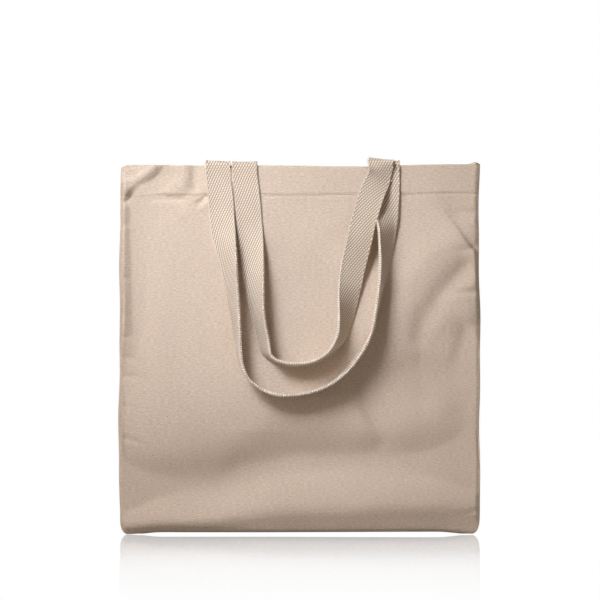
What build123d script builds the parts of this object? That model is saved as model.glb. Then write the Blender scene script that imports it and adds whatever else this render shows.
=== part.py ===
"""A canvas tote bag: two hemmed canvas panels sewn together along the sides and the bottom, and
two handles of flat cotton webbing sewn inside the front and the back hem.

Millimetres. +Z is up, the front panel faces -Y, and the origin is the middle of the base's underside.
Both handles hang down in front. They turn about one line along the top edge, where the webbing bends.
"""
from build123d import *
from math import sqrt
import os

os.makedirs("parts", exist_ok=True)

# ---- Driving dimensions ----
bag_width = 370.0
bag_height = 380.0
base_half_depth = 22.0
mouth_half_depth = 7.0
cloth = 0.8
hem_depth = 30.0
hem_layers = 3
seam_allowance = 10.0
webbing_width = 25.4
webbing = 1.9
thread = 0.5
proud = 0.1  # how far a line of stitching stands out of the cloth
tab_length = 35.0
gap = 0.3

half_width = bag_width / 2
hem_bottom = bag_height - hem_depth
base_top = 14.0  # the rounded foot of the bag ends here
box_stitch = 20.0  # the side of the sewn square on each handle tab
box_bar = 0.7  # the width of each of its lines
overlock_width = 5.0
overlock_depth = 2.6
seam_inset = 3.0  # the panels' turned-in seam edges start this far inside the bag's sides
side_stitch_inset = 5.0
bottom_stitch_height = 2.0
bottom_stitch_stop = 2.0  # how far short of the bottom seam's ends its threads stop
hem_stitch_height = 1.5  # above the hem's lower fold
hem_stitch_stop = 20.0  # how far short of the bag's sides the hem's stitching stops

# The rounded foot, from the ground up: height, share of the base depth, set-in from the side seam.
foot_levels = [(0.0, 0.59, 8.0), (2.0, 0.8, 4.5), (6.0, 0.93, 2.0), (base_top, 1.0, 0.0)]

# Where each leg crosses the top edge.
tab_centre = {
    "front_handle_tab_left": -84.0,
    "front_handle_tab_right": 89.8,
    "back_handle_tab_left": -56.8,
    "back_handle_tab_right": 83.0,
}

# The line that both handles turn about. A leg's thickness lies between it and each side of the hem.
hinge_y = -5.6
front_fold_end = hinge_y - webbing
back_fold_end = -1.4
leg_top = bag_height - 3.5
bottom_seam_length = bag_width - 2 * (seam_allowance + overlock_width)

# Each handle from its left leg's top, round the loop, to its right leg's top. A station gives the
# rim that lies towards the panel (x, z), how far off the panel it stands, and the outer rim (x, z).
# Where the two rims are nearer each other than the webbing is wide, the webbing stands on edge.
front_stations = [
    ((-96.7, leg_top), 0.0, (-71.3, leg_top)),
    ((-94.5, 352.0), 0.0, (-69.1, 352.0)),
    ((-92.6, 327.0), 0.0, (-67.4, 327.0)),
    ((-89.5, 309.0), 0.0, (-66.2, 309.0)),
    ((-84.5, 293.0), 0.0, (-65.0, 293.0)),
    ((-80.0, 276.0), 0.0, (-64.5, 275.0)),
    ((-73.5, 243.0), 0.0, (-62.5, 240.0)),
    ((-67.0, 209.0), 0.0, (-60.7, 206.0)),
    ((-61.8, 181.0), 0.0, (-58.8, 178.0)),
    ((-54.2, 162.5), 0.0, (-53.0, 162.0)),
    ((-40.0, 150.0), 0.0, (-39.6, 150.6)),
    ((-26.0, 143.5), 0.0, (-25.8, 144.4)),
    ((-10.5, 142.4), 0.0, (-11.0, 143.5)),
    ((8.0, 144.3), 0.0, (7.4, 145.7)),
    ((29.5, 151.8), 0.0, (28.5, 153.3)),
    ((49.5, 167.2), 0.0, (48.2, 168.6)),
    ((63.0, 183.6), 0.0, (61.4, 184.8)),
    ((73.6, 202.2), 0.0, (71.8, 203.0)),
    ((79.2, 225.4), 0.0, (77.0, 226.2)),
    ((83.0, 245.0), 0.0, (79.8, 246.0)),
    ((87.4, 260.5), 0.0, (81.4, 261.5)),
    ((92.0, 279.5), 0.0, (82.0, 280.0)),
    ((96.0, 301.0), 0.0, (81.5, 301.5)),
    ((98.5, 316.0), 0.0, (80.0, 316.5)),
    ((101.0, 334.0), 0.0, (76.4, 334.0)),
    ((102.3, 352.0), 0.0, (76.9, 352.0)),
    ((102.5, leg_top), 0.0, (77.1, leg_top)),
]
back_stations = [
    ((-69.5, leg_top), 0.0, (-44.1, leg_top)),
    ((-66.6, 348.0), 0.0, (-41.2, 348.0)),
    ((-64.0, 315.0), 0.0, (-38.6, 315.0)),
    ((-60.5, 287.0), 0.0, (-37.0, 287.0)),
    ((-56.0, 261.0), 0.0, (-36.8, 261.0)),
    ((-51.5, 240.0), 0.0, (-37.0, 240.0)),
    ((-47.0, 220.0), 0.0, (-35.5, 219.0)),
    ((-41.5, 198.5), 0.0, (-31.5, 198.0)),
    ((-33.0, 186.0), 0.0, (-28.0, 184.5)),
    ((-17.0, 179.0), 0.0, (-18.0, 178.0)),
    ((2.5, 177.0), 0.0, (2.0, 176.0)),
    ((20.0, 181.5), 0.0, (21.0, 182.0)),
    ((33.0, 191.0), 0.0, (31.5, 191.5)),
    ((43.0, 201.0), 1.0, (37.0, 202.0)),
    ((52.0, 217.5), 2.5, (39.5, 217.5)),
    ((58.0, 240.0), 5.0, (39.5, 240.0)),
    ((64.0, 262.5), 9.0, (40.5, 263.0)),
    ((69.0, 282.5), 13.0, (44.0, 284.5)),
    ((74.5, 304.0), 17.0, (49.5, 308.0)),
    ((77.0, 316.0), 18.0, (52.0, 320.5)),
    ((81.0, 330.0), 15.5, (56.2, 335.0)),
    ((87.5, 350.5), 8.5, (63.0, 356.5)),
    ((95.2, leg_top), 3.0, (70.8, leg_top)),
]


# ---- The shape of the bag ----
def level(z):
    """The half depth and half width of the bag's outside at height z."""
    if z >= base_top:
        share = (z - base_top) / (bag_height - base_top)
        return base_half_depth + share * (mouth_half_depth - base_half_depth), half_width
    for (z0, d0, s0), (z1, d1, s1) in zip(foot_levels, foot_levels[1:]):
        if z <= z1:
            share = (z - z0) / (z1 - z0)
            depth = base_half_depth * (d0 + share * (d1 - d0))
            return depth, half_width - (s0 + share * (s1 - s0))


def panel_y(x, z):
    """Where the front panel's outer face lies at (x, z)."""
    depth, width = level(z)
    return -depth * (1 - (x / width) ** 4)


def half_lens(plane_z, depth, width, side):
    """A sketch between the bag's middle plane and one bowed panel; side is -1 for the front."""
    with BuildSketch(Plane.XY.offset(plane_z)) as section:
        with BuildLine():
            # This is the curve depth * (1 - (x / width) ** 4).
            bulge = side * 2 * depth
            Bezier((-width, 0), (-width / 2, bulge), (0, 0), (width / 2, bulge), (width, 0))
            Line((width, 0), (-width, 0))
        make_face()
    return section.sketch


def hollow(z, thickness):
    """The half depth and half width of the hollow inside walls of this thickness at height z."""
    depth, width = level(z)
    return depth - thickness, width - thickness * width / (4 * depth)


def make_panel(side):
    """One canvas panel: its bowed wall, turned-in foot, folded hem and turned-in seam edges."""
    hem = cloth * hem_layers
    middle = side * cloth / 2
    with BuildPart() as panel:
        outer = [level_z for level_z, depth_share, set_in in foot_levels] + [bag_height]
        loft([half_lens(z, *level(z), side) for z in outer], ruled=True)
        inner = [(cloth + z, z) for z in outer[:-2]] + [(base_top, base_top), (hem_bottom, hem_bottom)]
        loft(
            [half_lens(z, *hollow(from_z, cloth), side) for z, from_z in inner],
            ruled=True,
            mode=Mode.SUBTRACT,
        )
        loft(
            [half_lens(z, *hollow(z, hem), side) for z in (hem_bottom, bag_height)],
            ruled=True,
            mode=Mode.SUBTRACT,
        )
        # The seam edges turned into the bag, against the other panel's.
        side_height = hem_bottom - base_top
        for end in (-1, 1):
            with Locations((end * (half_width - seam_inset - seam_allowance / 2), middle, base_top)):
                Box(seam_allowance, cloth, side_height, align=(Align.CENTER, Align.CENTER, Align.MIN))
        with Locations((0, middle, 0)):
            Box(
                bottom_seam_length,
                cloth,
                seam_allowance,
                align=(Align.CENTER, Align.CENTER, Align.MIN),
            )
    return panel


def write(piece, label):
    piece.part.label = label
    export_step(piece.part, f"parts/{label}.step")


front_panel = make_panel(-1)
write(front_panel, "front_panel")

back_panel = make_panel(1)
write(back_panel, "back_panel")


# ---- Seams: the line of thread through both panels, and the thread wound over their raw edges ----
def make_side_stitching(end):
    with BuildPart() as stitching:
        with Locations((end * (half_width - side_stitch_inset), 0, base_top)):
            height = hem_bottom - base_top
            Box(thread, 2 * (cloth - proud), height, align=(Align.CENTER, Align.CENTER, Align.MIN))
    return stitching


def make_side_overlock(end):
    edge = end * (half_width - seam_inset - seam_allowance)
    with BuildPart() as overlock:
        with Locations((edge, 0, base_top + seam_allowance)):
            height = hem_bottom - base_top - seam_allowance
            Box(overlock_width, overlock_depth, height, align=(Align.CENTER, Align.CENTER, Align.MIN))
        with Locations((edge + end * overlock_width, 0, base_top)):
            # The slot that the two canvas edges fill.
            Box(
                2 * overlock_width,
                2 * cloth,
                bag_height,
                align=(Align.CENTER, Align.CENTER, Align.MIN),
                mode=Mode.SUBTRACT,
            )
    return overlock


for name, end in (("left", -1), ("right", 1)):
    write(make_side_stitching(end), f"side_seam_stitching_{name}")
    write(make_side_overlock(end), f"side_seam_overlock_{name}")

bottom_thread_length = bottom_seam_length - 2 * bottom_stitch_stop

with BuildPart() as bottom_seam_stitching:
    with Locations((0, 0, bottom_stitch_height)):
        Box(bottom_thread_length, 2 * cloth + thread, thread)
write(bottom_seam_stitching, "bottom_seam_stitching")

with BuildPart() as bottom_seam_overlock:
    with Locations((0, 0, seam_allowance - overlock_width / 2)):
        Box(bottom_thread_length, overlock_depth, overlock_width + 1)
    with Locations((0, 0, seam_allowance - overlock_width)):
        Box(bottom_seam_length, 2 * cloth, 2 * overlock_width, mode=Mode.SUBTRACT)
write(bottom_seam_overlock, "bottom_seam_overlock")


# ---- Hem stitching: one line of thread through all three layers of each hem ----
def make_hem_stitching(side):
    z = hem_bottom + hem_stitch_height
    depth, width = level(z)
    depth += proud
    inner_depth = depth - cloth * hem_layers - 2 * proud
    with BuildPart() as stitching:
        extrude(half_lens(z, depth, width, side), amount=thread)
        extrude(half_lens(z, inner_depth, width, side), amount=thread, mode=Mode.SUBTRACT)
        for end in (-1, 1):
            with Locations((end * half_width, 0, z)):
                Box(2 * hem_stitch_stop, bag_width, 4 * thread, mode=Mode.SUBTRACT)
    return stitching


for name, side in (("front", -1), ("back", 1)):
    write(make_hem_stitching(side), f"hem_stitching_{name}")


# ---- Handle tabs: the fixed ends of the webbing, inside the hem and over its edge ----
def hem_inside(x, z):
    """How far from the bag's middle plane a hem's inner face is at (x, z)."""
    depth, width = hollow(z, cloth * hem_layers)
    return depth * (1 - (x / width) ** 4)


def make_tab(centre_x, side, fold_end):
    """A tab from low inside the hem, up, and over the top edge as far as y = fold_end."""
    far_x = abs(centre_x) + webbing_width / 2
    low = bag_height - tab_length
    top_y = side * (hem_inside(far_x, bag_height) - gap)
    low_y = side * (hem_inside(far_x, low) - gap)
    inside = side * webbing
    fold_z = bag_height + gap
    with BuildPart() as tab:
        with BuildSketch(Plane.YZ.offset(centre_x - webbing_width / 2)):
            with BuildLine():
                if side < 0:
                    fold = [(top_y, fold_z), (fold_end, fold_z), (fold_end, fold_z + webbing)]
                    fold += [(top_y - inside, fold_z + webbing)]
                else:
                    fold = [(top_y, fold_z + webbing), (fold_end, fold_z + webbing)]
                    fold += [(fold_end, fold_z), (top_y - inside, fold_z)]
                legs = [(low_y - inside, low), (low_y, low)]
                Polyline(*fold, *legs, close=True)
            make_face()
        extrude(amount=webbing_width)
    return tab


def make_box_stitching(centre_x, side):
    """A sewn square with its two diagonals, through the tab, the hem and the panel."""
    z = bag_height - hem_depth / 2
    reach = -panel_y(abs(centre_x) + box_stitch / 2, z) + proud
    tab_inside = hem_inside(abs(centre_x) + webbing_width / 2, bag_height) - gap - webbing
    with BuildPart() as stitching:
        with BuildSketch(Plane.XZ.offset(-side * reach)):
            with Locations((centre_x, z)):
                Rectangle(box_stitch, box_stitch)
                inside = box_stitch - 2 * box_bar
                Rectangle(inside, inside, mode=Mode.SUBTRACT)
                for turn in (-45, 45):
                    Rectangle((box_stitch - box_bar) * sqrt(2), box_bar, rotation=turn)
        extrude(amount=side * (reach - tab_inside + proud))
    return stitching


for name, centre_x in tab_centre.items():
    side = -1 if name.startswith("front") else 1
    fold_end = front_fold_end if side < 0 else back_fold_end
    write(make_tab(centre_x, side, fold_end), name)
    write(make_box_stitching(centre_x, side), name.replace("tab", "stitching"))


# ---- Handle loops: the webbing outside, from one leg's top to the other's ----
def make_loop(stations):
    """Flat webbing lofted through its stations."""
    rims = []
    for (back_x, back_z), off, (out_x, out_z) in stations:
        back_y = panel_y(back_x, back_z) - webbing / 2 - 2 * gap - off
        across = (out_x - back_x) ** 2 + (out_z - back_z) ** 2
        out_y = back_y - sqrt(max(0.0, webbing_width**2 - across))
        rims.append((Vector(back_x, back_y, back_z), Vector(out_x, out_y, out_z)))
    centres = [(back + out) * 0.5 for back, out in rims]
    with BuildPart() as loop:
        for i, (back, out) in enumerate(rims):
            width_way = (out - back).normalized()
            run = centres[min(i + 1, len(rims) - 1)] - centres[max(i - 1, 0)]
            if i in (0, len(rims) - 1):
                run = Vector(0, 0, -1 if i == 0 else 1)
            along = (run - width_way * run.dot(width_way)).normalized()
            with BuildSketch(Plane(origin=centres[i], x_dir=width_way, z_dir=along)):
                Rectangle(webbing_width, webbing)
        loft(ruled=True)
    return loop


front_handle_loop = make_loop(front_stations)
write(front_handle_loop, "front_handle_loop")

back_handle_loop = make_loop(back_stations)
write(back_handle_loop, "back_handle_loop")
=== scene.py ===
"""The looks of a canvas tote bag: two sagging canvas panels, their seams, hems and threads, and two
webbing handles that hang in front. Metres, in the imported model's frame: +Z up, the front faces -Y.
"""
import math

import bpy
import numpy as np
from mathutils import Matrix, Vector


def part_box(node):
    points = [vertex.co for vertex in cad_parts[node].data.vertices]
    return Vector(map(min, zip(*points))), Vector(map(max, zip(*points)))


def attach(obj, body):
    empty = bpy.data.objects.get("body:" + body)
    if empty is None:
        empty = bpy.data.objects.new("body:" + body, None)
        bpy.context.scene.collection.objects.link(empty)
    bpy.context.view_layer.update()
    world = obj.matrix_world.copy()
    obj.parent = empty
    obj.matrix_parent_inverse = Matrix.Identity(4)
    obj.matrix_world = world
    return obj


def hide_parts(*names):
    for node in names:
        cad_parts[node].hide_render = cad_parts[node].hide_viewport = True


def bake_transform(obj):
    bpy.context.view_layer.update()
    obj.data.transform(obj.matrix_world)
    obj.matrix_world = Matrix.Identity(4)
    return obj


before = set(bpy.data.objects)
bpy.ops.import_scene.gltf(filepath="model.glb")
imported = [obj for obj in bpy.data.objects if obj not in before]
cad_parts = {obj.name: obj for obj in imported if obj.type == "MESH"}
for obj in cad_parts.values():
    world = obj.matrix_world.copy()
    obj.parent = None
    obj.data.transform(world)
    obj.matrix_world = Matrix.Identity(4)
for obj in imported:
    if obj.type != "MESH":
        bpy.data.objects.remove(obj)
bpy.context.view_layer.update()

MM = 0.001

# ---- Sizes, from the frame ----
panel_low, panel_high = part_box("front_panel")
WIDTH = (panel_high.x - panel_low.x) / MM
HEIGHT = panel_high.z / MM
BASE_DEPTH = -panel_low.y / MM
HALF = WIDTH / 2
MOUTH_DEPTH = 7.0  # from the middle of the mouth to each panel's outer face
CLOTH = 0.75
HEM_DEPTH = 30.0
HEM_LAYERS = 3
HEM_LINE = HEIGHT - HEM_DEPTH
FOOT_TOP = 14.0  # the rounded foot ends here
# The foot from the ground up: height, share of the base depth, set-in from the side seam.
FOOT = [(0.0, 0.0, 6.6), (0.0, 0.3, 6.6), (0.0, 0.59, 6.6), (0.8, 0.7, 5.2), (2.0, 0.8, 3.6)]
FOOT += [(3.8, 0.88, 2.3), (6.0, 0.93, 1.3), (9.5, 0.97, 0.4), (FOOT_TOP, 1.0, 0.0)]
EDGE_ROUND = 1.1  # the seams' half thickness, which the panels round over at each side
SEAM_ALLOWANCE = 10.0
BOW_INSET = 1.6  # room in front of the plain bowed shape for its folds
WEBBING_WIDTH = 25.4
WEBBING = 1.9
# Where the middle of each handle's sewn ends lies across the hem: left, right.
FRONT_CENTRES = (-84.0, 89.8)
BACK_CENTRES = (-56.8, 83.0)


# ---- Mesh helpers ----
def make_object(name, points, faces, uvs=None, validate=True):
    """A smooth mesh object from points in millimetres, with uvs in millimetres for each point."""
    mesh = bpy.data.meshes.new(name)
    points = np.asarray(points, float) * MM
    faces = [[int(corner) for corner in face] for face in faces]
    mesh.from_pydata(points.tolist(), [], faces)
    if uvs is not None:
        layer = mesh.uv_layers.new(name="cloth")
        corner = np.zeros(len(mesh.loops), np.int32)
        mesh.loops.foreach_get("vertex_index", corner)
        layer.data.foreach_set("uv", (np.asarray(uvs, np.float32) * MM)[corner].ravel())
    mesh.polygons.foreach_set("use_smooth", np.ones(len(mesh.polygons), bool))
    if validate:
        mesh.validate()
    mesh.update()
    obj = bpy.data.objects.new(name, mesh)
    bpy.context.scene.collection.objects.link(obj)
    return obj


def running_length(points):
    """How far along a line of points each point lies."""
    return np.concatenate([[0], np.cumsum(np.linalg.norm(np.diff(points, axis=0), axis=1))])


def grid_faces(rows, columns, start=0, wrap=False):
    """Quads over rows x columns points; wrap joins the last column to the first."""
    r = np.arange(rows - 1)[:, None]
    c = np.arange(columns if wrap else columns - 1)[None, :]
    after = (c + 1) % columns
    a, b = r * columns + c, r * columns + after
    quads = np.stack([a, b, b + columns, a + columns], -1) + start
    return quads.reshape(-1, 4)


def smooth_step(x, low, high):
    """From 0 at low to 1 at high, with soft ends."""
    t = np.clip((x - low) / (high - low), 0, 1)
    return t * t * (3 - 2 * t)


def wave_noise(x, z, seed, wavelength, count=9):
    """Smooth seeded unevenness from -1 to about 1, made of a few plane waves."""
    draw = np.random.default_rng(seed)
    total = np.zeros(np.broadcast(x, z).shape)
    for _ in range(count):
        angle, phase = draw.uniform(0, 2 * math.pi, 2)
        k = 2 * math.pi / (wavelength * draw.uniform(0.7, 1.6))
        total = total + np.sin(k * (x * math.cos(angle) + z * math.sin(angle)) + phase)
    return total / math.sqrt(count)


# ---- The shape of the panels ----
def crease(x, z, path, height, width, fade=12.0):
    """A fold along a path of (x, z) points: outwards if height is positive, dying away at its ends."""
    best = np.full(np.broadcast(x, z).shape, 1e9)
    strength = np.zeros_like(best)
    lengths = [math.dist(p, q) for p, q in zip(path, path[1:])]
    whole, done = sum(lengths), 0.0
    for (x0, z0), (x1, z1), length in zip(path, path[1:], lengths):
        dx, dz = (x1 - x0) / length, (z1 - z0) / length
        along = np.clip((x - x0) * dx + (z - z0) * dz, 0, length)
        away = np.hypot(x - x0 - along * dx, z - z0 - along * dz)
        nearer = away < best
        best = np.where(nearer, away, best)
        place = done + along
        ends = np.minimum(place, whole - place)
        strength = np.where(nearer, smooth_step(ends, -0.01, fade), strength)
        done += length
    return height * strength * np.exp(-((best / width) ** 2))


FRONT_FOLDS = [
    # The slack belly, the valley under it, and the swelling above the foot.
    ([(-186, 112), (-60, 128), (20, 160), (110, 230), (186, 285)], 6.0, 46, 2),
    ([(186, 200), (120, 160), (60, 126)], -5.5, 36, 10),
    ([(-186, 46), (-82, 50), (-48, 62), (-14, 72), (90, 73), (186, 70)], -15.5, 27, 2),
    ([(-186, 9), (-100, 13), (-50, 24), (0, 29), (186, 33)], 7.6, 17, 2),
    ([(-84, 54), (-50, 84)], -1.6, 9, 12),
    ([(58, 64), (92, 104)], -1.6, 6, 14),
    ([(84, 60), (116, 84)], 0.9, 8, 14),
    # A long slack fold down the right side.
    ([(182, 286), (150, 254), (128, 220), (118, 186)], -4.4, 12, 18),
    ([(184, 244), (162, 214), (150, 170)], 1.8, 11, 18),
    ([(186, 318), (130, 286), (105, 248)], 2.0, 13, 18),
    # The top left corner, where the handles pull the hem.
    ([(-184, 348), (-158, 370), (-143, 383)], 5.6, 7.5, 9),
    ([(-176, 336), (-149, 359), (-129, 377)], -5.4, 7.5, 14),
    ([(-184, 367), (-160, 373)], -1.8, 2.6, 4),
    ([(-187, 341), (-150, 346), (-116, 345)], -2.8, 3.2, 5),
    ([(-120, 383), (-122, 352)], 1.6, 4.5, 6),
    ([(-107, 383), (-108, 350)], -3.8, 4.8, 6),
    ([(-93, 351), (-107, 337)], -2.6, 2.8, 4),
    ([(-90, 345), (-102, 332)], 1.6, 3.0, 4),
    ([(-112, 336), (-126, 322)], 0.9, 5.0, 6),
    # Faint packing creases.
    ([(-121, 345), (-126, 85)], -0.5, 2.4, 40),
    ([(120, 343), (127, 76)], -0.5, 2.4, 40),
    ([(-103, 108), (2, 106)], 0.45, 2.2, 20),
    ([(20, 66), (156, 64)], 0.45, 2.2, 20),
]
BACK_FOLDS = [
    ([(-186, 250), (0, 190), (186, 150)], 5.0, 58, 2),
    ([(-186, 66), (-60, 84), (40, 76), (186, 52)], -8.5, 22, 2),
    ([(-186, 28), (0, 36), (186, 22)], 4.2, 17, 2),
    ([(-160, 320), (-120, 240), (-112, 180)], -4.2, 14, 20),
    ([(-170, 210), (-130, 160), (-60, 130)], 2.2, 12, 20),
    ([(150, 330), (110, 290), (100, 220)], -3.6, 12, 20),
    ([(80, 120), (130, 150), (176, 220)], 2.4, 12, 20),
    ([(60, 352), (58, 300), (40, 230)], -1.5, 9, 24),
    ([(183, 356), (150, 378)], -2.0, 5.0, 8),
    ([(-183, 350), (-158, 372)], -1.8, 5.0, 8),
    ([(122, 345), (124, 80)], -0.5, 2.4, 40),
    ([(-123, 345), (-120, 80)], -0.5, 2.4, 40),
    ([(-100, 180), (120, 186)], 0.45, 2.2, 20),
]
# Where each side seam draws the cloth in: heights, with the pucker's depth and its half length.
LEFT_PUCKERS = [(318, 0.9, 14), (262, 0.7, 16), (225, 1.0, 18), (204, 0.9, 14), (184, 1.1, 16)]
LEFT_PUCKERS += [(163, 1.3, 20), (132, 0.9, 14), (101, 1.3, 20), (66, 1.6, 20), (44, 1.4, 16)]
RIGHT_PUCKERS = [(330, 1.0, 16), (296, 1.1, 18), (250, 1.2, 22), (214, 1.0, 16), (176, 1.3, 20)]
RIGHT_PUCKERS += [(140, 1.0, 16), (108, 1.2, 18), (78, 1.0, 16), (48, 1.3, 18), (26, 0.9, 12)]


def puckers(x, z, seed):
    """Short dents that run in from the side seams."""
    draw = np.random.default_rng(seed)
    total = np.zeros(np.broadcast(x, z).shape)
    for end, dents in ((-1, LEFT_PUCKERS), (1, RIGHT_PUCKERS)):
        for height, depth, reach in dents:
            slant = draw.uniform(-0.35, 0.35)
            inward = HALF - end * x
            near = np.exp(-((inward / reach) ** 2))
            place = (z - height - slant * inward) / 4.0
            total = total - 1.7 * depth * near * (1.3 - place**2) * np.exp(-(place**2))
    return total


def hem_line(x):
    """The height of the hem's row of stitches."""
    dip = 4.0 * np.exp(-(((x + 186) / 20) ** 2))
    return HEM_LINE - 0.6 - dip + 0.6 * wave_noise(x, 0 * x, 41, 120)


def relief(x, z, side):
    """How far the cloth stands out from its plain bowed shape."""
    folds = FRONT_FOLDS if side < 0 else BACK_FOLDS
    total = sum(crease(x, z, path, height, width, fade) for path, height, width, fade in folds)
    total = total + puckers(x, z, 5 if side < 0 else 8)
    # The left seam has rolled to the front, and shows as a thin ridge.
    rolled = smooth_step(z, 18, 30) * (1 - smooth_step(z, 185, 215)) * (x < 0)
    total = total + 3.0 * rolled * np.exp(-(((HALF - np.abs(x) - 2.8) / 1.0) ** 2))
    # The seams' folded edges, inside, hold the cloth forward along each side.
    inward = HALF - np.abs(x)
    under = smooth_step(z, 165, 215) * (1 - smooth_step(z, 352, 374))
    total = total + (1.0 + 8.0 * under * (x < 0)) * np.exp(-((inward / 10.0) ** 2))
    total = total - (0.5 + 3.6 * under * (x < 0)) * np.exp(-(((inward - 20) / 11) ** 2))
    total = total + 1.1 * wave_noise(x, z, 11 - side, 150) + 0.32 * wave_noise(x, z, 21 - side, 46)
    total = total + 0.1 * wave_noise(x * 0.6, z, 31 - side, 15)
    # The row of stitches draws the hem in, in small uneven dimples.
    line = hem_line(x)
    dimples = 0.75 + 0.25 * np.sin(x / 1.9) + 0.25 * wave_noise(x, 0 * z, 43 - side, 14)
    total = total - 0.85 * dimples * np.exp(-(((z - line) / 1.6) ** 2))
    total = total + 0.5 * smooth_step(z, line, line + 2.2)
    return total


def outline(z, end):
    """How far out each side seam lies: a little uneven, and rounded in at the foot."""
    wander = 0.7 * np.sin(z / 31.0 + end) + 0.35 * np.sin(z / 12.3 + 2 * end)
    bulge, height, reach = (1.6, 140, 75) if end < 0 else (0.9, 120, 90)
    slack = bulge * np.exp(-(((z - height) / reach) ** 2))
    return HALF + slack + wander * smooth_step(z, 5, 40)


def plain_depth(z):
    """How deep the bag's bowed shape is in front of the seams at height z, above its foot."""
    return BASE_DEPTH + (z - FOOT_TOP) / (HEIGHT - FOOT_TOP) * (MOUTH_DEPTH - BASE_DEPTH)


def profile():
    """The rows of a panel from the bottom seam up: height, share of the depth, set-in at the sides."""
    rows = [(z, share, setting) for z, share, setting in FOOT]
    rows += [(z, 1.0, 0.0) for z in np.arange(FOOT_TOP + 2.0, HEM_LINE - 8, 2.2)]
    rows += [(z, 1.0, 0.0) for z in np.arange(HEM_LINE - 8, HEM_LINE + 5, 0.9)]
    rows += [(z, 1.0, 0.0) for z in np.arange(HEM_LINE + 6, HEIGHT - 1.0, 1.8)]
    return np.array(rows)


def panel_surface(side):
    """The outer face of a panel as rows of points, and each row's height before it is bent."""
    rows = profile()
    z, share, setting = rows[:, 0:1], rows[:, 1:2], rows[:, 2:3]
    from_side = [0, 0.25, 0.7, 1.2, 1.8, 2.5, 3.3, 4.2, 5.3, 6.6, 8.2, 10.0]
    half = np.concatenate([from_side, np.linspace(12.0, HALF, 80)]) / HALF
    across = np.concatenate([half - 1, 1 - half[-2::-1]])[None, :]
    reach = np.where(across < 0, outline(z, -1), outline(z, 1)) - setting
    x = across * reach
    depth = np.where(z < FOOT_TOP, BASE_DEPTH, plain_depth(z)) - EDGE_ROUND - BOW_INSET
    bow = 1 - across**4
    inward = np.clip((1 - np.abs(across)) * HALF / 2.4, 0, 1)
    edge = EDGE_ROUND * np.sqrt(1 - (1 - inward) ** 2)
    settle = smooth_step((1 - np.abs(across)) * HALF, 0, 5)
    folds_start = 9 + 12 * smooth_step(x, -90, 0)
    lift = relief(x, z, side) * settle * smooth_step(z, 1, folds_start)
    # Room is kept inside for the turned-in edges of the side seams.
    low = 0.3 + 2.3 * smooth_step((1 - np.abs(across)) * HALF, 0.6, 4.0)
    above = depth * bow + edge + lift - low
    # This keeps the cloth further out than low, and bends smoothly where a fold would go deeper.
    out = share * (low + (above + np.sqrt(above**2 + 0.8)) / 2) * (inward > 0)
    top = 0.9 * wave_noise(x, 0 * z, 51, 160, 4) * smooth_step(z, HEM_LINE - 30, HEIGHT)
    top = top + 1.4 * smooth_step(z, HEM_LINE, HEIGHT)
    corner = 2.6 * np.exp(-(((x - 181) / 5) ** 2)) - 3.0 * np.exp(-(((x + 186) / 5) ** 2))
    top = top + corner * smooth_step(z, HEIGHT - 14, HEIGHT)
    # The corners touch the ground, and the rest of the foot hangs a little above it.
    arch = 3.0 * smooth_step(HALF - np.abs(x), 5, 44) + 0.5 * smooth_step(x, -60, 120)
    arch = arch * (1 - smooth_step(z, 0, 50))
    height = z + top + arch
    points = np.stack([x, side * out, height + 0 * x], -1)
    return points, z[:, 0]


def normals_of(points):
    """Unit normals of a grid of points, along rows x columns."""
    du = np.gradient(points, axis=1)
    dv = np.gradient(points, axis=0)
    n = np.cross(du, dv)
    return n / np.maximum(np.linalg.norm(n, axis=-1, keepdims=True), 1e-9)


def make_panel(name, side):
    """One panel as a closed sheet: out, over the folded hem, and down inside."""
    outer, height = panel_surface(side)
    inward = normals_of(outer)
    inward = inward * np.sign(-side * inward[..., 1:2] + 1e-9)
    # Where the outside turns under, its normal points up into the bag.
    thick = CLOTH + (HEM_LAYERS - 1) * CLOTH * smooth_step(height, HEM_LINE - 1.2, HEM_LINE - 0.2)
    inner = outer + inward * thick[:, None, None]
    middle_gap = 0.06  # the two panels' inner faces stay apart
    inside_out = side * inner[..., 1] < middle_gap
    inner[..., 1] = np.where(inside_out, side * middle_gap, inner[..., 1])
    inner[..., 1] = np.where(
        side * inner[..., 1] > side * outer[..., 1], outer[..., 1] * 0.98, inner[..., 1]
    )
    inner[..., 2] = np.maximum(inner[..., 2], CLOTH * 0.9)
    # The fold at the top, as an arch from the outer face to the inner.
    steps = np.linspace(0, math.pi, 9)[1:-1]
    last_out, last_in = outer[-1], inner[-1]
    middle, half = (last_out + last_in) / 2, (last_out - last_in) / 2
    rise = np.linalg.norm(half, axis=-1, keepdims=True) * np.array([[0, 0, 1.0]])
    arch = [middle + half * math.cos(a) + rise * math.sin(a) for a in steps]
    ring = np.concatenate([outer, np.array(arch), inner[::-1]], 0)
    rows, columns = ring.shape[:2]
    faces = grid_faces(rows, columns)
    # Close the bottom between the first and the last row, and each side seam.
    c = np.arange(columns - 1)
    last = (rows - 1) * columns
    bottom = np.stack([c + 1, c, last + c, last + c + 1], -1)
    polygons = np.concatenate([faces, bottom]).tolist()
    outer_rows = len(outer)
    for column, way in ((0, 1), (columns - 1, -1)):
        strip = [[r, rows - 1 - r, rows - 2 - r, r + 1] for r in range(outer_rows - 1)]
        strip.append(list(range(outer_rows - 1, rows - outer_rows + 1)))
        polygons += [[r * columns + column for r in face][::way] for face in strip]
    if side > 0:
        polygons = [face[::-1] for face in polygons]
    run = running_length(ring[:, columns // 2])
    u = np.broadcast_to(ring[outer_rows // 2, :, 0][None, :], (rows, columns))
    v = np.broadcast_to(run[:, None], (rows, columns))
    uvs = np.stack([u, v], -1).reshape(-1, 2)
    return make_object(name, ring.reshape(-1, 3), polygons, uvs, validate=False), outer


front_panel, front_face = make_panel("front_canvas", -1)
back_panel, back_face = make_panel("back_canvas", 1)


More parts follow.
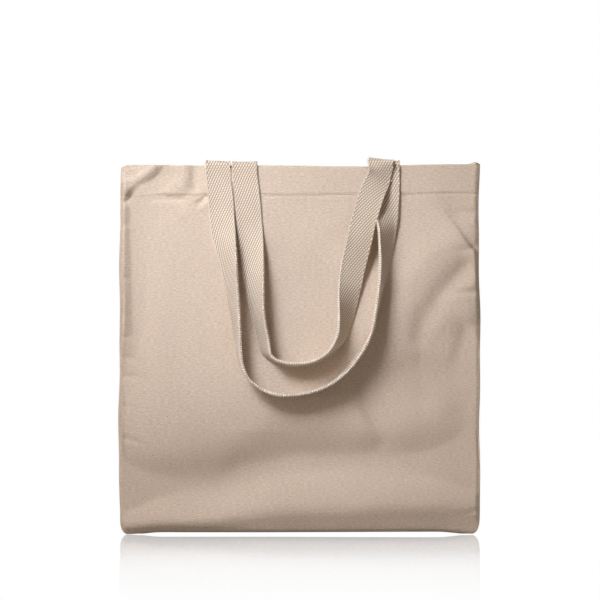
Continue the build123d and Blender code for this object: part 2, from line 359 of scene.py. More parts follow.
def face_y(face, x, z):
    """Where a panel's outer face lies at (x, z), from its grid of points."""
    row = int(np.argmin(np.abs(face[:, face.shape[1] // 2, 2] - z)))
    return float(np.interp(x, face[row, :, 0], face[row, :, 1]))


# ---- Handles ----
LEG_TOP = HEIGHT - 3.5
# Each handle from its left leg's top, round the loop, to its right leg's top. A station gives the
# rim that lies towards the panel (x, z), how far off the panel it stands, and the outer rim (x, z).
# Where the two rims are nearer each other than the webbing is wide, the webbing stands on edge.
FRONT_STATIONS = [
    ((-96.7, LEG_TOP), 0.0, (-71.3, LEG_TOP)),
    ((-94.5, 352.0), 0.0, (-69.1, 352.0)),
    ((-92.6, 327.0), 0.0, (-67.4, 327.0)),
    ((-89.5, 309.0), 0.0, (-66.2, 309.0)),
    ((-84.5, 293.0), 0.0, (-65.0, 293.0)),
    ((-80.0, 276.0), 0.0, (-64.5, 275.0)),
    ((-73.5, 243.0), 0.0, (-62.5, 240.0)),
    ((-67.0, 209.0), 0.0, (-60.7, 206.0)),
    ((-61.8, 181.0), 0.0, (-58.8, 178.0)),
    ((-54.2, 162.5), 0.0, (-53.0, 162.0)),
    ((-40.0, 150.0), 0.0, (-39.6, 150.6)),
    ((-26.0, 144.2), 0.0, (-25.8, 145.0)),
    ((-10.7, 143.3), 0.0, (-11.0, 143.9)),
    ((7.8, 145.9), 0.0, (7.6, 146.3)),
    ((28.2, 154.3), 0.0, (28.8, 153.6)),
    ((47.6, 169.8), 0.0, (48.8, 168.4)),
    ((60.7, 186.0), 0.0, (62.0, 184.9)),
    ((72.2, 203.2), 0.0, (71.8, 203.4)),
    ((79.2, 225.4), 0.0, (77.0, 226.2)),
    ((83.0, 245.0), 0.0, (79.8, 246.0)),
    ((87.4, 260.5), 0.0, (81.4, 261.5)),
    ((92.0, 279.5), 0.0, (82.0, 280.0)),
    ((96.0, 301.0), 0.0, (81.5, 301.5)),
    ((98.5, 316.0), 0.0, (80.0, 316.5)),
    ((101.0, 334.0), 0.0, (76.4, 334.0)),
    ((102.3, 352.0), 0.0, (76.9, 352.0)),
    ((102.5, LEG_TOP), 0.0, (77.1, LEG_TOP)),
]
BACK_STATIONS = [
    ((-69.5, LEG_TOP), 0.0, (-44.1, LEG_TOP)),
    ((-66.6, 348.0), 0.0, (-41.2, 348.0)),
    ((-64.0, 315.0), 0.0, (-38.6, 315.0)),
    ((-60.5, 287.0), 0.0, (-37.0, 287.0)),
    ((-56.0, 261.0), 0.0, (-36.8, 261.0)),
    ((-51.5, 240.0), 0.0, (-37.0, 240.0)),
    ((-47.0, 220.0), 0.0, (-35.5, 219.0)),
    ((-41.5, 198.5), 0.0, (-31.5, 198.0)),
    ((-34.5, 184.0), 0.0, (-28.0, 184.5)),
    ((-18.0, 176.0), 0.0, (-18.0, 178.0)),
    ((2.5, 174.0), 0.0, (2.0, 176.5)),
    ((21.5, 179.0), 0.0, (21.0, 182.0)),
    ((34.5, 188.5), 0.0, (31.5, 191.5)),
    ((44.0, 199.0), 0.2, (37.0, 202.0)),
    ((52.0, 217.5), 0.6, (39.5, 217.5)),
    ((58.0, 240.0), 1.6, (39.5, 240.0)),
    ((64.0, 262.5), 3.6, (40.5, 263.0)),
    ((69.0, 282.5), 7.0, (44.0, 284.5)),
    ((74.5, 304.0), 12.0, (49.5, 308.0)),
    ((77.0, 316.0), 14.5, (52.0, 320.5)),
    ((81.0, 330.0), 14.0, (56.2, 335.0)),
    ((87.5, 350.5), 8.5, (63.0, 356.5)),
    ((95.2, LEG_TOP), 3.0, (70.8, LEG_TOP)),
]


def plain_y(x, z):
    """The front panel's bowed shape without its folds, as the CAD has it."""
    return -plain_depth(z) * (1 - (x / HALF) ** 4)


# How much higher than the plain fold each end of a handle crosses the top edge: at its back rim and
# at its outer rim, for the left end and the right end.
CROWNS = {-1: [(1.3, 0.5), (1.0, 1.4)], 1: [(0.0, 0.0), (1.6, 4.4)]}


LOOP_GAP = 0.5  # between a loop and the canvas behind it
SEWN_LENGTH = 35.0  # how far each end of a handle reaches down inside the hem
MOUTH_AT_HANDLES = 0.93 * MOUTH_DEPTH  # the mouth narrows towards its sides


def handle_rims(stations, side, centres):
    """Both rims of a handle as 3-D points: up from inside the hem, over the edge and round the loop."""
    rims = []
    for (back_x, back_z), off, (out_x, out_z) in stations:
        cloth_y = min(plain_y(back_x, back_z), face_y(front_face, back_x, back_z))
        back_y = cloth_y - WEBBING / 2 - LOOP_GAP - off
        across = (out_x - back_x) ** 2 + (out_z - back_z) ** 2
        out_y = back_y - math.sqrt(max(0.0, WEBBING_WIDTH**2 - across))
        rims.append(((back_x, back_y, back_z), (out_x, out_y, out_z)))
    for end, centre in zip((0, -1), centres):
        way = -1 if end == 0 else 1  # the back rim is the outer one of the pair
        back, out = rims[end]
        mid_y = (back[1] + out[1]) / 2
        hem_inside = MOUTH_AT_HANDLES - HEM_LAYERS * CLOTH - WEBBING / 2
        inside_top = side * (hem_inside - 1.8)
        inside_low = side * (hem_inside + 0.2)
        low = HEIGHT - SEWN_LENGTH
        lift_back, lift_out = CROWNS[side][end]
        path = [(inside_low, low, 0), (0.6 * inside_low + 0.4 * inside_top, low + 14, 0)]
        path += [(inside_top, HEIGHT - 6, 0), (inside_top, HEIGHT - 1, 0.15)]
        path += [(0.72 * inside_top + 0.28 * mid_y, HEIGHT + 2.2, 0.8)]
        path += [(0.35 * inside_top + 0.65 * mid_y, HEIGHT + 2.6, 1.0)]
        path += [(0.06 * inside_top + 0.94 * mid_y, HEIGHT + 1.0, 0.9)]
        added = []
        for step, (y, z, lifted) in enumerate(path):
            share = step / len(path)
            mid_x = centre * (1 - share) + (back[0] + out[0]) / 2 * share
            half = way * WEBBING_WIDTH / 2
            high = z + lifted * lift_back, z + lifted * lift_out
            added.append(((mid_x + half, y, high[0]), (mid_x - half, y, high[1])))
        rims = added + rims if end == 0 else rims + added[::-1]
    return np.array(rims)


def natural_spline(knots, values, at):
    """A natural cubic spline through values at knots, for several columns at once."""
    n = len(knots)
    h = np.diff(knots)
    system = np.eye(n)
    right = np.zeros((n, values.shape[1]))
    for i in range(1, n - 1):
        system[i, i - 1 : i + 2] = h[i - 1], 2 * (h[i - 1] + h[i]), h[i]
        slope_before = (values[i] - values[i - 1]) / h[i - 1]
        slope_after = (values[i + 1] - values[i]) / h[i]
        right[i] = 6 * (slope_after - slope_before)
    bend = np.linalg.solve(system, right)
    i = np.clip(np.searchsorted(knots, at) - 1, 0, n - 2)
    a, b = (knots[i + 1] - at)[:, None], (at - knots[i])[:, None]
    step = h[i][:, None]
    curve = (bend[i] * a**3 + bend[i + 1] * b**3) / (6 * step)
    from_first = (values[i] / step - bend[i] * step / 6) * a
    from_next = (values[i + 1] / step - bend[i + 1] * step / 6) * b
    return curve + from_first + from_next


TWILL_SLANT = math.radians(-29)
TWILL_ROW = 2.45
TWILL_BEAD = 2.9
TOOTH = 2.5  # where the weft turns back at each rim


def webbing_relief(along, across):
    """The twill's yarns from 0 to 1: slanted rows of short beads."""
    row = (across * math.cos(TWILL_SLANT) - along * math.sin(TWILL_SLANT)) / TWILL_ROW
    bead = (across * math.sin(TWILL_SLANT) + along * math.cos(TWILL_SLANT)) / TWILL_BEAD
    bead = bead + 0.5 * np.round(row)
    ridge = 0.5 + 0.5 * np.cos(2 * math.pi * row)
    return ridge * (0.66 + 0.34 * np.cos(2 * math.pi * bead))


def make_handle(name, stations, side, centres, seed):
    """A handle of flat twill webbing with serrated selvedges."""
    rims = handle_rims(stations, side, centres)
    back, out = rims[:, 0], rims[:, 1]
    middle = (back + out) / 2
    knots = running_length(middle)
    length = knots[-1]
    step = 0.62  # fine enough for the yarns
    at = np.linspace(0, length, int(length / step))
    line = natural_spline(knots, middle, at)
    widthwise = natural_spline(knots, out - back, at)
    along = np.gradient(line, axis=0)
    along /= np.linalg.norm(along, axis=1, keepdims=True)
    widthwise -= along * np.sum(widthwise * along, 1, keepdims=True)
    widthwise /= np.linalg.norm(widthwise, axis=1, keepdims=True)
    normal = np.cross(along, widthwise)
    run = running_length(line)
    columns = 43
    share = np.linspace(-1, 1, columns)
    across = WEBBING_WIDTH / 2 * share
    body = WEBBING / 2 * (1 - np.abs(share) ** 16 * 0.2)
    grid_s, grid_t = np.meshgrid(run, across, indexing="ij")
    fuzz = np.random.default_rng(seed).normal(0, 0.03, grid_s.shape)
    flat = 1 - np.abs(share[None, :]) ** 6
    # The weft turns back at each rim, in small teeth.
    tooth = np.maximum(np.abs(share[None, :]) - 0.9, 0) / 0.1
    wave = np.abs(np.sin(math.pi * grid_s / TOOTH)) - 0.6
    spread = grid_t + np.sign(grid_t) * 1.1 * tooth * wave
    rim = (1.05 + 1.5 * wave * tooth) * (1 - flat)
    sides = []
    for face in (1, -1):
        turned = grid_t if face > 0 else WEBBING_WIDTH - grid_t
        yarns = 0.62 * webbing_relief(grid_s, turned)
        height = face * (body[None, :] - 0.42 + (yarns + fuzz) * flat + rim)
        flat_place = line[:, None] + widthwise[:, None] * spread[..., None]
        sides.append(flat_place + normal[:, None] * height[..., None])
    ring = np.concatenate([sides[0], sides[1][:, ::-1]], 1)
    rows, columns_all = ring.shape[:2]
    faces = grid_faces(rows, columns_all, wrap=True).tolist()
    first = list(range(columns_all))
    last = [(rows - 1) * columns_all + c for c in range(columns_all)]
    for c in range(columns - 1):
        other = columns_all - 1 - c
        faces.append([first[c + 1], first[c], first[other], first[other - 1]])
        faces.append([last[c], last[c + 1], last[other - 1], last[other]])
    u = np.concatenate([grid_t, WEBBING_WIDTH - grid_t[:, ::-1]], 1)
    v = np.concatenate([grid_s, grid_s], 1)
    uvs = np.stack([u, v], -1).reshape(-1, 2)
    obj = make_object(name, ring.reshape(-1, 3), faces, uvs)
    # Where the ring closes on itself, its coordinates run on round the rim.
    layer = obj.data.uv_layers[0].data
    for row in range(rows - 1):
        closing = 4 * (row * columns_all + columns_all - 1)
        for corner in (closing + 1, closing + 2):
            layer[corner].uv[0] = 1.5 * WEBBING_WIDTH * MM
    return obj, length


front_handle, front_length = make_handle("front_handle", FRONT_STATIONS, -1, FRONT_CENTRES, 3)
back_handle, back_length = make_handle("back_handle", BACK_STATIONS, 1, BACK_CENTRES, 4)


# ---- Threads ----
STITCH_POINTS = 7
TUBE_SIDES = 6


def tube(points, radius, sides=TUBE_SIDES, start=0):
    """Points and quads of a thin tube along a line of points."""
    points = np.asarray(points, float)
    along = np.gradient(points, axis=0)
    along /= np.linalg.norm(along, axis=1, keepdims=True)
    helper = np.where(np.abs(along[:, 1:2]) < 0.8, [[0, 1.0, 0]], [[1.0, 0, 0]])
    a = np.cross(along, helper)
    a /= np.linalg.norm(a, axis=1, keepdims=True)
    b = np.cross(along, a)
    radius = np.broadcast_to(radius, len(points))[:, None, None]
    angle = np.linspace(0, 2 * math.pi, sides, endpoint=False)
    around = a[:, None] * np.cos(angle)[None, :, None] + b[:, None] * np.sin(angle)[None, :, None]
    ring = points[:, None] + radius * around
    faces = grid_faces(len(points), sides, start, wrap=True).tolist()
    last = start + (len(points) - 1) * sides
    faces.append([start + k for k in range(sides)][::-1])
    faces.append([last + k for k in range(sides)])
    return ring.reshape(-1, 3), faces


def stitch_row(line, outwards, length=2.6, pause=0.6, radius=0.36):
    """Stitches laid along a line of surface points, each dipping into the cloth at its ends."""
    line, outwards = np.asarray(line, float), np.asarray(outwards, float)
    run = running_length(line)
    points, faces, place = [], [], 0.0
    while place + length < run[-1]:
        at = place + length * np.linspace(0, 1, STITCH_POINTS)
        centre = np.stack([np.interp(at, run, line[:, k]) for k in range(3)], -1)
        away = np.stack([np.interp(at, run, outwards[:, k]) for k in range(3)], -1)
        swell = np.sin(np.linspace(0.12, math.pi - 0.12, STITCH_POINTS))
        centre = centre + away * (0.62 * swell - 0.2)[:, None]
        start = len(points) * STITCH_POINTS * TUBE_SIDES
        ring, quads = tube(centre, radius * (0.55 + 0.45 * swell), start=start)
        points.append(ring)
        faces += quads
        place += length + pause
    return np.concatenate(points), faces


def join_rows(name, rows):
    """One object from several rows of stitches."""
    points, faces, count = [], [], 0
    for ring, quads in rows:
        points.append(ring)
        faces += [[q + count for q in quad] for quad in quads]
        count += len(ring)
    return make_object(name, np.concatenate(points), faces)


def surface_line(face, xs, zs, side, inside=0.0):
    """Points on a panel's outer face, or that far inside it, and the way out of the cloth."""
    points = [(x, face_y(face, x, z) - side * inside, z) for x, z in zip(xs, zs)]
    away = np.tile([0, -side if inside else side, 0], (len(points), 1)).astype(float)
    return np.array(points, float), away


def make_hem_stitching(name, face, side):
    """The hem's row of stitches, outside and inside."""
    xs = np.linspace(-HALF + 3, HALF - 3, 300)
    zs = hem_line(xs)
    rows = []
    for inside in (0.0, HEM_LAYERS * CLOTH):
        points, away = surface_line(face, xs, zs, side, inside)
        rows.append(stitch_row(points, away))
    return join_rows(name, rows)


def make_box_stitching(name, face, side, centre):
    """The square and its diagonals that hold a handle's end, seen outside and on the webbing."""
    low, high, half = HEIGHT - 25.0, HEIGHT - 5.0, 10.0
    corners = [(centre - half, low), (centre + half, low), (centre + half, high), (centre - half, high)]
    lines = [(corners[i], corners[(i + 1) % 4]) for i in range(4)]
    lines += [(corners[0], corners[2]), (corners[1], corners[3])]
    rows = []
    for (x0, z0), (x1, z1) in lines:
        xs, zs = np.linspace(x0, x1, 40), np.linspace(z0, z1, 40)
        for inside in (0.0, HEM_LAYERS * CLOTH + WEBBING + 0.3):
            points, away = surface_line(face, xs, zs, side, inside)
            rows.append(stitch_row(points, away))
    return join_rows(name, rows)


def make_seam_edge(name, root, inwards, noise_seed):
    """The two raw canvas edges of a seam, turned into the bag side by side."""
    root = np.asarray(root, float)
    rows, width = len(root), SEAM_ALLOWANCE
    draw = wave_noise(np.linspace(0, 340, rows), 0 * np.arange(rows), noise_seed, 60, 5)
    half_thick = 0.78
    around = [(share * width, half_thick) for share in np.linspace(0, 1, 9)]
    around += [(width + 0.15, 0.4), (width + 0.15, -0.4)]
    around += [(share * width, -half_thick) for share in np.linspace(1, 0, 9)]
    ring = []
    for along, thick in around:
        sway = 0.35 * draw * (along / width) ** 2
        sideways = np.stack([0 * sway, thick + sway, 0 * sway], -1)
        ring.append(root + np.asarray(inwards) * along + sideways)
    ring = np.stack(ring, 1)
    columns = ring.shape[1]
    faces = grid_faces(rows, columns, wrap=True).tolist()
    faces += [list(range(columns))[::-1], [(rows - 1) * columns + c for c in range(columns)]]
    run = running_length(root)
    u = np.broadcast_to(np.array([a + 4 * b for a, b in around])[None, :], (rows, columns))
    uvs = np.stack([u, np.broadcast_to(run[:, None], (rows, columns))], -1).reshape(-1, 2)
    return make_object(name, ring.reshape(-1, 3), faces, uvs)


def make_overlock(name, root, inwards):
    """Thread wound over a seam's raw edges, in close turns."""
    root = np.asarray(root, float)
    run = running_length(root)
    turn_pitch, steps = 2.6, 10
    turns = int(run[-1] / turn_pitch)
    angle = np.linspace(0, 2 * math.pi * turns, turns * steps)
    at = np.linspace(0.5, run[-1] - 0.5, len(angle))
    centre = np.stack([np.interp(at, run, root[:, k]) for k in range(3)], -1)
    # The turns reach from inside the seam edge to just past its raw border.
    path = centre + np.asarray(inwards) * (7.6 + 2.95 * np.cos(angle))[:, None]
    path[:, 1] += 1.12 * np.sign(np.sin(angle)) * np.abs(np.sin(angle)) ** 0.35
    return join_rows(name, [tube(path, 0.26, 5)])


def make_seam_stitching(name, root, inwards):
    """The seam's own stitches, on both faces of its turned-in edges."""
    line = np.asarray(root, float) + np.asarray(inwards) * 1.6
    rows = []
    for way in (-1, 1):
        away = np.tile([0, way, 0], (len(line), 1)).astype(float)
        rows.append(stitch_row(line + away * 0.8, away, radius=0.24))
    return join_rows(name, rows)


seam_z = np.linspace(FOOT_TOP + 2, HEM_LINE - 3, 120)
seams = {}
for end, name in ((-1, "left"), (1, "right")):
    root = np.stack([end * (HALF - 4.2) + 0 * seam_z, 0 * seam_z, seam_z], -1)
    seams[f"side_seam_{name}"] = root, (-end, 0, 0)
bottom_x = np.linspace(-HALF + 17, HALF - 17, 120)
seams["bottom_seam"] = np.stack([bottom_x, 0 * bottom_x, 3.6 + 0 * bottom_x], -1), (0, 0, 1)
seam_edges, seam_threads = [], {}
for seed, (name, (root, inwards)) in enumerate(seams.items()):
    seam_edges.append(make_seam_edge(name.replace("seam", "seam_edge"), root, inwards, 61 + seed))
    seam, _, end = name.partition("_seam")  # such as side, _left
    overlock = make_overlock(f"{name}_overlock_thread", root, inwards)
    seam_threads[f"{seam}_seam_overlock{end}"] = overlock
    stitches = make_seam_stitching(f"{name}_thread", root, inwards)
    seam_threads[f"{seam}_seam_stitching{end}"] = stitches

hem_front = make_hem_stitching("hem_thread_front", front_face, -1)
hem_back = make_hem_stitching("hem_thread_back", back_face, 1)
box_threads = {}
for handle, face, side, centres in (
    ("front", front_face, -1, FRONT_CENTRES),
    ("back", back_face, 1, BACK_CENTRES),
):
    for end, centre in zip(("left", "right"), centres):
        name = f"{handle}_handle_stitching_{end}"
        box_threads[name] = make_box_stitching(f"{name}_thread", face, side, centre)


# ---- Materials ----
def new_material(name, roughness, sheen, specular):
    """A material, its node tree and its shader."""
    material = bpy.data.materials.new(name)
    material.use_nodes = True
    tree = material.node_tree
    shader = tree.nodes["Principled BSDF"]
    shader.inputs["Roughness"].default_value = roughness
    shader.inputs["Specular IOR Level"].default_value = specular
    shader.inputs["Sheen Weight"].default_value = sheen
    shader.inputs["Sheen Roughness"].default_value = 0.5
    return material, tree, shader


def node(tree, kind, **values):
    """A node with its settings and its sockets' values; _ in a name stands for a space."""
    made = tree.nodes.new(kind)
    for key, value in values.items():
        if hasattr(made, key):
            setattr(made, key, value)
        else:
            made.inputs[key.replace("_", " ")].default_value = value
    return made


def link(tree, out, into):
    tree.links.new(out, into)


def coordinates(tree, scale, source="UV"):
    """A piece's own coordinates, stretched by scale."""
    place = node(tree, "ShaderNodeTexCoord")
    mapping = node(tree, "ShaderNodeMapping")
    mapping.inputs["Scale"].default_value = scale
    link(tree, place.outputs[source], mapping.inputs["Vector"])
    return mapping.outputs["Vector"]


def noise(tree, vector, detail=3.0, roughness=0.55):
    """Noise over coordinates that already carry its scale."""
    made = node(tree, "ShaderNodeTexNoise", Scale=1.0, Detail=detail, Roughness=roughness)
    link(tree, vector, made.inputs["Vector"])
    return made.outputs["Fac"]


def maths(tree, operation, a, b=None):
    """One Math node; a and b are numbers or sockets."""
    made = node(tree, "ShaderNodeMath", operation=operation)
    for value, socket in ((a, made.inputs[0]), (b, made.inputs[1])):
        if value is None:
            continue
        if isinstance(value, (int, float)):
            socket.default_value = value
        else:
            link(tree, value, socket)
    return made.outputs[0]


def ramp(tree, value, stops):
    """Colours along a value, as (place, colour) stops."""
    made = node(tree, "ShaderNodeValToRGB")
    elements = made.color_ramp.elements
    while len(elements) < len(stops):
        elements.new(0.5)
    for element, (place, colour) in zip(elements, stops):
        element.position = place
        element.color = (*colour, 1.0)
    link(tree, value, made.inputs["Fac"])
    return made.outputs["Color"]


def mix(tree, kind, factor, a, b):
    """Two colours mixed; each argument is a number, a colour or a socket."""
    made = node(tree, "ShaderNodeMix", data_type="RGBA", blend_type=kind)
    for value, socket in ((factor, made.inputs[0]), (a, made.inputs[6]), (b, made.inputs[7])):
        if isinstance(value, (int, float)):
            socket.default_value = value
        elif isinstance(value, tuple):
            socket.default_value = (*value, 1.0)
        else:
            link(tree, value, socket)
    return made.outputs[2]


def weave_height(tree, vector, pitch):
    """A plain weave: two crossing sets of yarns that take turns on top."""
    k = math.pi / (pitch * MM)
    split = node(tree, "ShaderNodeSeparateXYZ")
    link(tree, vector, split.inputs[0])
    across = maths(tree, "SINE", maths(tree, "MULTIPLY", split.outputs[0], k))
    up = maths(tree, "SINE", maths(tree, "MULTIPLY", split.outputs[1], k))
    checker = maths(tree, "MULTIPLY", across, up)
    return maths(tree, "ABSOLUTE", checker)


def bump(tree, shader, heights):
    """Bumps one over another: (height socket, strength, distance in metres)."""
    normal = None
    for height, strength, distance in heights:
        made = node(tree, "ShaderNodeBump", Strength=strength, Distance=distance)
        link(tree, height, made.inputs["Height"])
        if normal is not None:
            link(tree, normal, made.inputs["Normal"])
        normal = made.outputs["Normal"]
    link(tree, normal, shader.inputs["Normal"])


def canvas_material():
    """Natural cotton canvas: plain weave, slubs, a crinkled hand and dark seed flecks."""
    material, tree, shader = new_material("natural_canvas", 0.9, 0.12, 0.15)
    flat = coordinates(tree, (1, 1, 1))
    weave = weave_height(tree, flat, 0.75)
    slubs = noise(tree, coordinates(tree, (260, 900, 1)), 2.0)
    warp = noise(tree, coordinates(tree, (900, 300, 1)), 2.0)
    crinkle = noise(tree, coordinates(tree, (170, 330, 1)), 3.0, 0.6)
    mottle = noise(tree, coordinates(tree, (9, 9, 1)), 4.0)
    grain = noise(tree, coordinates(tree, (1100, 1100, 1)), 2.0)
    colour = ramp(tree, mottle, [(0.3, (0.645, 0.535, 0.435)), (0.7, (0.69, 0.58, 0.48))])
    threads = ramp(tree, slubs, [(0.35, (0.88, 0.87, 0.86)), (0.65, (1.07, 1.07, 1.07))])
    colour = mix(tree, "MULTIPLY", 1.0, colour, threads)
    speckle = ramp(tree, grain, [(0.35, (0.87, 0.86, 0.85)), (0.65, (1.07, 1.07, 1.07))])
    colour = mix(tree, "MULTIPLY", 0.9, colour, speckle)
    flecks = node(tree, "ShaderNodeTexVoronoi", Scale=1.0, Randomness=1.0)
    link(tree, coordinates(tree, (62, 84, 1)), flecks.inputs["Vector"])
    near = maths(tree, "LESS_THAN", flecks.outputs["Distance"], 0.045)
    split = node(tree, "ShaderNodeSeparateColor")
    link(tree, flecks.outputs["Color"], split.inputs[0])
    few = maths(tree, "GREATER_THAN", split.outputs[0], 0.55)
    fleck = maths(tree, "MULTIPLY", near, few)
    colour = mix(tree, "MIX", maths(tree, "MULTIPLY", fleck, 0.55), colour, (0.22, 0.13, 0.07))
    link(tree, colour, shader.inputs["Base Color"])
    rough = ramp(tree, slubs, [(0.3, (0.95, 0.95, 0.95)), (0.7, (0.82, 0.82, 0.82))])
    link(tree, rough, shader.inputs["Roughness"])
    heights = [(crinkle, 0.75, 0.001), (slubs, 0.5, 0.0004), (warp, 0.4, 0.0003), (weave, 0.6, 0.00025)]
    bump(tree, shader, heights)
    return material


def twill_height(tree, vector):
    """The webbing's yarns, in step with those in its mesh."""
    split = node(tree, "ShaderNodeSeparateXYZ")
    link(tree, vector, split.inputs[0])
    across, along = split.outputs[0], split.outputs[1]
    cos, sin = math.cos(TWILL_SLANT), math.sin(TWILL_SLANT)

    def turned(a, b, pitch):
        """The coordinate along one slanted direction, counted in pitches."""
        first = maths(tree, "MULTIPLY", across, a / (pitch * MM))
        return maths(tree, "ADD", first, maths(tree, "MULTIPLY", along, b / (pitch * MM)))

    row = turned(cos, -sin, TWILL_ROW)
    bead = turned(sin, cos, TWILL_BEAD)
    bead = maths(tree, "ADD", bead, maths(tree, "MULTIPLY", maths(tree, "ROUND", row), 0.5))
    turn = 2 * math.pi
    ridge = maths(tree, "COSINE", maths(tree, "MULTIPLY", row, turn))
    ridge = maths(tree, "MULTIPLY", maths(tree, "ADD", ridge, 1.0), 0.5)
    lump = maths(tree, "COSINE", maths(tree, "MULTIPLY", bead, turn))
    lump = maths(tree, "ADD", maths(tree, "MULTIPLY", lump, 0.34), 0.66)
    return maths(tree, "MULTIPLY", ridge, lump)


def webbing_material():
    """Cotton twill webbing: slanted rows of yarn with painted shade in the grooves between them, a
    painted highlight on the selvedges with painted shade between their teeth, and fine fibres.
    """
    material, tree, shader = new_material("cotton_webbing", 0.88, 0.15, 0.2)
    flat = coordinates(tree, (1, 1, 1))
    yarns = twill_height(tree, flat)
    fine = noise(tree, coordinates(tree, (900, 1400, 1)), 3.0)
    broad = noise(tree, coordinates(tree, (60, 40, 1)), 3.0)
    colour = ramp(tree, broad, [(0.3, (0.75, 0.67, 0.575)), (0.7, (0.8, 0.725, 0.635))])
    speckle = ramp(tree, fine, [(0.3, (0.88, 0.87, 0.85)), (0.7, (1.06, 1.06, 1.06))])
    colour = mix(tree, "MULTIPLY", 1.0, colour, speckle)
    # Painted shade: the grooves between the yarns are darkened according to the yarns' height.
    groove_shade = ramp(tree, yarns, [(0.05, (0.5, 0.42, 0.34)), (0.5, (1.0, 1.0, 1.0))])
    # The selvedges are plain.
    split = node(tree, "ShaderNodeSeparateXYZ")
    link(tree, flat, split.inputs[0])
    from_rim = maths(tree, "ADD", split.outputs[0], WEBBING_WIDTH / 2 * MM)
    from_rim = maths(tree, "PINGPONG", from_rim, WEBBING_WIDTH / 2 * MM)
    selvedge = 0.55 * MM
    inside = maths(tree, "GREATER_THAN", from_rim, selvedge)
    colour = mix(tree, "MULTIPLY", inside, colour, groove_shade)
    # Painted shade between the selvedge's teeth, in step with the teeth in the mesh.
    tooth = maths(tree, "MULTIPLY", split.outputs[1], math.pi / (TOOTH * MM))
    tooth = maths(tree, "ABSOLUTE", maths(tree, "SINE", tooth))
    painted_notch_shade = ramp(tree, tooth, [(0.08, (0.55, 0.44, 0.34)), (0.5, (1.0, 1.0, 1.0))])
    rim = maths(tree, "SUBTRACT", 1.0, inside)
    # Painted highlight: the selvedges are made lighter, as rims catching the light.
    colour = mix(tree, "MIX", maths(tree, "MULTIPLY", rim, 0.5), colour, (0.86, 0.78, 0.68))
    colour = mix(tree, "MULTIPLY", rim, colour, painted_notch_shade)
    link(tree, colour, shader.inputs["Base Color"])
    rough = ramp(tree, fine, [(0.3, (0.95, 0.95, 0.95)), (0.7, (0.8, 0.8, 0.8))])
    link(tree, rough, shader.inputs["Roughness"])
    bump(tree, shader, [(yarns, 0.6, 0.0007), (fine, 0.4, 0.0003)])
    return material


def thread_material():
    """Cotton sewing thread, with its twist."""
    material, tree, shader = new_material("cotton_thread", 0.75, 0.2, 0.3)
    twist = noise(tree, coordinates(tree, (2600, 2600, 5200), "Object"), 2.0)
    colour = ramp(tree, twist, [(0.3, (0.66, 0.55, 0.43)), (0.7, (0.8, 0.7, 0.57))])
    link(tree, colour, shader.inputs["Base Color"])
    rough = ramp(tree, twist, [(0.3, (0.85, 0.85, 0.85)), (0.7, (0.65, 0.65, 0.65))])
    link(tree, rough, shader.inputs["Roughness"])
    bump(tree, shader, [(twist, 0.6, 0.0002)])
    return material


canvas = canvas_material()
webbing = webbing_material()
thread = thread_material()


# ---- Every piece on its body ----
def dress(obj, material, nodes, body="bag"):
    """Gives a piece its material and slot, the CAD nodes it replaces, and the body it rides on."""
    obj.data.materials.clear()
    obj.data.materials.append(material)
    if nodes:
        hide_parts(*nodes)
    if body:
        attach(obj, body)


dress(front_panel, canvas, ["front_panel"])
dress(back_panel, canvas, ["back_panel"])
front_nodes = ["front_handle_loop", "front_handle_tab_left", "front_handle_tab_right"]
back_nodes = ["back_handle_loop", "back_handle_tab_left", "back_handle_tab_right"]
dress(front_handle, webbing, front_nodes, None)
dress(back_handle, webbing, back_nodes, None)
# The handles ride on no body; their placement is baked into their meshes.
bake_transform(front_handle)
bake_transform(back_handle)
dress(hem_front, thread, ["hem_stitching_front"])
dress(hem_back, thread, ["hem_stitching_back"])
for name, obj in box_threads.items():
    dress(obj, thread, [name])
for obj in seam_edges:
    dress(obj, canvas, [])
for name, obj in seam_threads.items():
    dress(obj, thread, [name])


# ---- The studio ----
CAMERA_DISTANCE = 4.5
FLOOR_DROP = 0.0002  # keeps the floor just under the bag
SEEN_WIDTH = 0.618  # how much the camera sees at the bag
CAMERA_HEIGHT = 0.2412


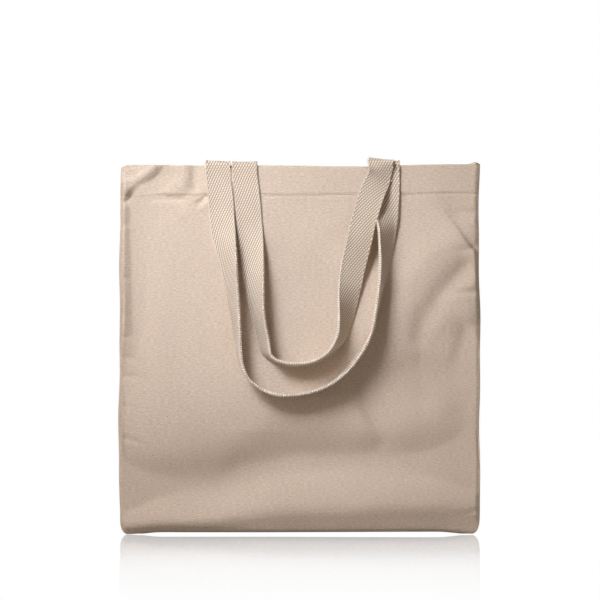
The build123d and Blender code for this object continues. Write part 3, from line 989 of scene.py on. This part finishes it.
def make_floor():
    """A pale glossy floor that mirrors a little of what stands on it."""
    size = 4.0
    mesh = bpy.data.meshes.new("floor")
    corners = [(-size, -size, 0), (size, -size, 0), (size, size, 0), (-size, size, 0)]
    mesh.from_pydata(corners, [], [(0, 1, 2, 3)])
    floor = bpy.data.objects.new("floor", mesh)
    floor.location.z = -FLOOR_DROP
    bpy.context.scene.collection.objects.link(floor)
    material = bpy.data.materials.new("studio_floor")
    material.use_nodes = True
    tree = material.node_tree
    tree.nodes.clear()
    out = node(tree, "ShaderNodeOutputMaterial")
    white = node(tree, "ShaderNodeEmission", Strength=1.0)
    mirror = node(tree, "ShaderNodeBsdfGlossy", Color=(1.0, 1.0, 1.0, 1.0), Roughness=0.02)
    # The floor is glossy close to the bag, and dull further off.
    place = node(tree, "ShaderNodeNewGeometry")
    split = node(tree, "ShaderNodeSeparateXYZ")
    link(tree, place.outputs["Position"], split.inputs[0])
    beside = maths(tree, "ABSOLUTE", split.outputs[0])
    beside = maths(tree, "MAXIMUM", maths(tree, "SUBTRACT", beside, HALF * MM), 0.0)
    away = maths(tree, "ABSOLUTE", split.outputs[1])
    both_ways = maths(tree, "ADD", maths(tree, "POWER", beside, 2.0), maths(tree, "POWER", away, 2.0))
    distance = maths(tree, "DIVIDE", maths(tree, "SQRT", both_ways), CAMERA_DISTANCE)
    shares = [(0.0, 0.54), (0.023, 0.5), (0.058, 0.37), (0.096, 0.17), (0.13, 0.09)]
    shares += [(0.21, 0.02), (0.27, 0.0)]
    gloss = ramp(tree, distance, [(at, (share,) * 3) for at, share in shares])
    seen = node(tree, "ShaderNodeMixShader")
    link(tree, gloss, seen.inputs[0])
    link(tree, white.outputs[0], seen.inputs[1])
    link(tree, mirror.outputs[0], seen.inputs[2])
    matt = node(tree, "ShaderNodeBsdfDiffuse", Color=(0.55, 0.54, 0.52, 1.0))
    path = node(tree, "ShaderNodeLightPath")
    either = node(tree, "ShaderNodeMixShader")
    link(tree, path.outputs["Is Camera Ray"], either.inputs[0])
    link(tree, matt.outputs[0], either.inputs[1])
    link(tree, seen.outputs[0], either.inputs[2])
    link(tree, either.outputs[0], out.inputs["Surface"])
    mesh.materials.append(material)


def make_world():
    """White where it is seen or mirrored, and a weak warm light."""
    world = bpy.data.worlds.new("studio")
    bpy.context.scene.world = world
    world.use_nodes = True
    tree = world.node_tree
    tree.nodes.clear()
    out = node(tree, "ShaderNodeOutputWorld")
    seen = node(tree, "ShaderNodeBackground", Color=(1, 1, 1, 1), Strength=1.0)
    light = node(tree, "ShaderNodeBackground", Color=(1.0, 0.8, 0.62, 1), Strength=0.235)
    path = node(tree, "ShaderNodeLightPath")
    either = maths(tree, "MAXIMUM", path.outputs["Is Camera Ray"], path.outputs["Is Glossy Ray"])
    both = node(tree, "ShaderNodeMixShader")
    link(tree, either, both.inputs[0])
    link(tree, light.outputs[0], both.inputs[1])
    link(tree, seen.outputs[0], both.inputs[2])
    link(tree, both.outputs[0], out.inputs["Surface"])


def area_light(name, place, target, size, power, colour=(1, 1, 1), spread=180):
    """A square lamp that faces its target; its spread is in degrees."""
    data = bpy.data.lights.new(name, "AREA")
    data.size = size
    data.energy = power
    data.color = colour
    data.spread = math.radians(spread)
    light = bpy.data.objects.new(name, data)
    light.location = place
    direction = Vector(target) - Vector(place)
    light.rotation_euler = direction.to_track_quat("-Z", "Y").to_euler()
    bpy.context.scene.collection.objects.link(light)


def make_camera():
    """Straight on, from far enough to flatten the view."""
    data = bpy.data.cameras.new("camera")
    data.sensor_width = 36.0
    data.lens = data.sensor_width * CAMERA_DISTANCE / SEEN_WIDTH
    camera = bpy.data.objects.new("camera", data)
    camera.location = (0.0003, -CAMERA_DISTANCE, CAMERA_HEIGHT)
    camera.rotation_euler = (math.pi / 2, 0, 0)
    bpy.context.scene.collection.objects.link(camera)
    bpy.context.scene.camera = camera


make_floor()
make_world()
area_light("key", (-0.46, -0.85, 0.86), (-0.03, 0, 0.33), 0.42, 1.32, (1.0, 1.025, 1.09), 50)
area_light("side_fill", (-1.5, -1.3, 0.45), (0, 0, 0.22), 0.9, 4.4, (1.0, 0.8, 0.62))
area_light("front_fill", (0.5, -1.7, 0.7), (0, 0, 0.2), 1.2, 0.8, (1.0, 0.97, 0.94))
area_light("back_fill", (0.9, 1.6, 1.0), (0, 0, 0.2), 0.8, 30)
make_camera()
bpy.context.scene.view_settings.view_transform = "Standard"
